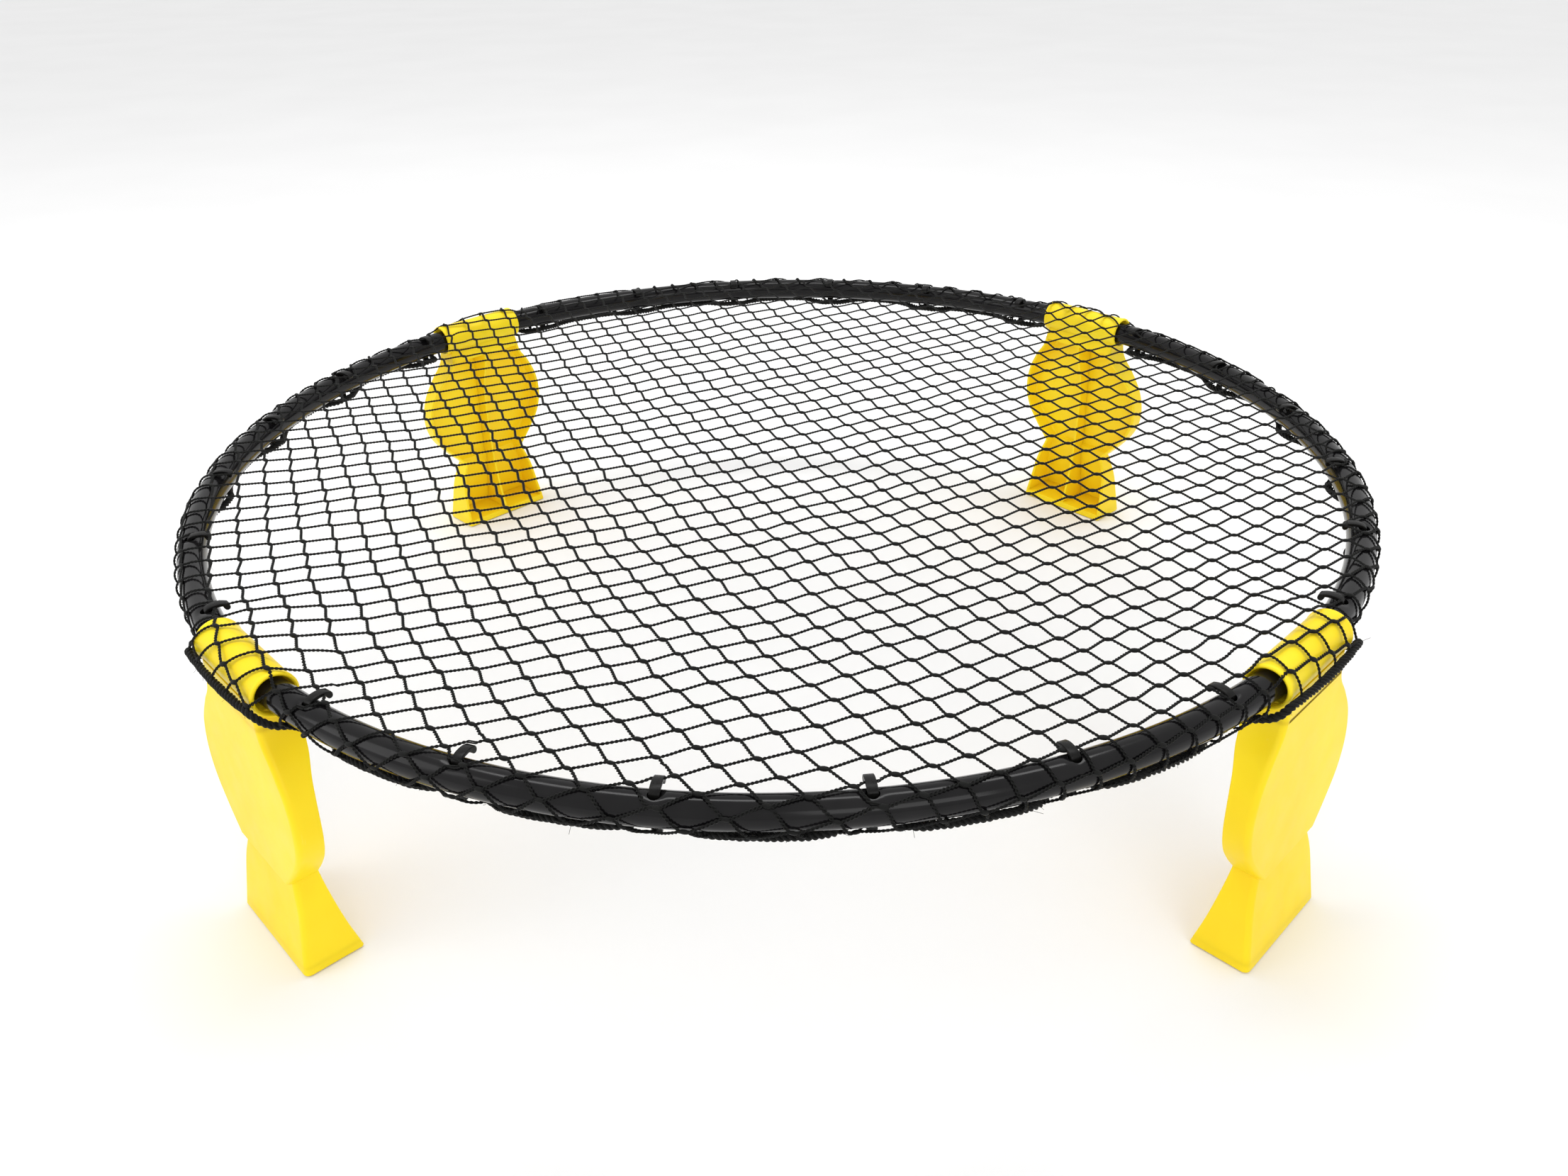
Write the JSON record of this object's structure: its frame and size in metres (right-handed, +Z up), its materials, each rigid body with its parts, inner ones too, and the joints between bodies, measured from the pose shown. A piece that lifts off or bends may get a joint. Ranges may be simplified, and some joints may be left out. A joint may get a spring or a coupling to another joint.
{
  "type": "round rebound net",
  "caption": "Round rebound net for roundnet games: a tubular hoop on folding moulded legs, with knotless netting hooked over it.",
  "frame": {"origin": "on the floor, below the centre of the hoop", "axes": "+Z up along the hoop's axis; the hoop's sections meet at 45 degrees between X and Y"},
  "size_m": [0.91, 0.91, 0.2248],
  "materials": {
    "tube": "gloss",
    "hook": "satin",
    "netting": "matte",
    "cord": "matte",
    "leg": "satin"
  },
  "bodies": {
    "hoop": {"rim_section_1": "tube", "rim_section_2": "tube", "rim_section_3": "tube", "rim_section_4": "tube", "rim_spigot_1": "tube", "rim_spigot_2": "tube", "rim_spigot_3": "tube", "rim_spigot_4": "tube", "hook_01": "hook", "hook_02": "hook", "hook_03": "hook", "hook_04": "hook", "hook_05": "hook", "hook_06": "hook", "hook_07": "hook", "hook_08": "hook", "hook_09": "hook", "hook_10": "hook", "hook_11": "hook", "hook_12": "hook", "hook_13": "hook", "hook_14": "hook", "hook_15": "hook", "hook_16": "hook", "hook_17": "hook", "hook_18": "hook", "hook_19": "hook", "hook_20": "hook", "hook_21": "hook", "hook_22": "hook", "hook_23": "hook", "hook_24": "hook", "net": "netting", "edge_cord": "cord"},
    "leg_1": {"leg_1": "leg"},
    "leg_2": {"leg_2": "leg"},
    "leg_3": {"leg_3": "leg"},
    "leg_4": {"leg_4": "leg"}
  },
  "joints": [
    {"name": "leg_1_fold", "type": "hinge", "parent": "hoop", "child": "leg_1", "pos_m": [0.31831, 0.30954, 0.21], "axis": [-0.6972, 0.7169, 0], "range_deg": [0, 80]},
    {"name": "leg_2_fold", "type": "hinge", "parent": "hoop", "child": "leg_2", "pos_m": [-0.31831, 0.30954, 0.21], "axis": [-0.6972, -0.7169, 0], "range_deg": [0, 80]},
    {"name": "leg_3_fold", "type": "hinge", "parent": "hoop", "child": "leg_3", "pos_m": [-0.31831, -0.30954, 0.21], "axis": [0.6972, -0.7169, 0], "range_deg": [0, 80]},
    {"name": "leg_4_fold", "type": "hinge", "parent": "hoop", "child": "leg_4", "pos_m": [0.31831, -0.30954, 0.21], "axis": [0.6972, 0.7169, 0], "range_deg": [0, 80]}
  ]
}
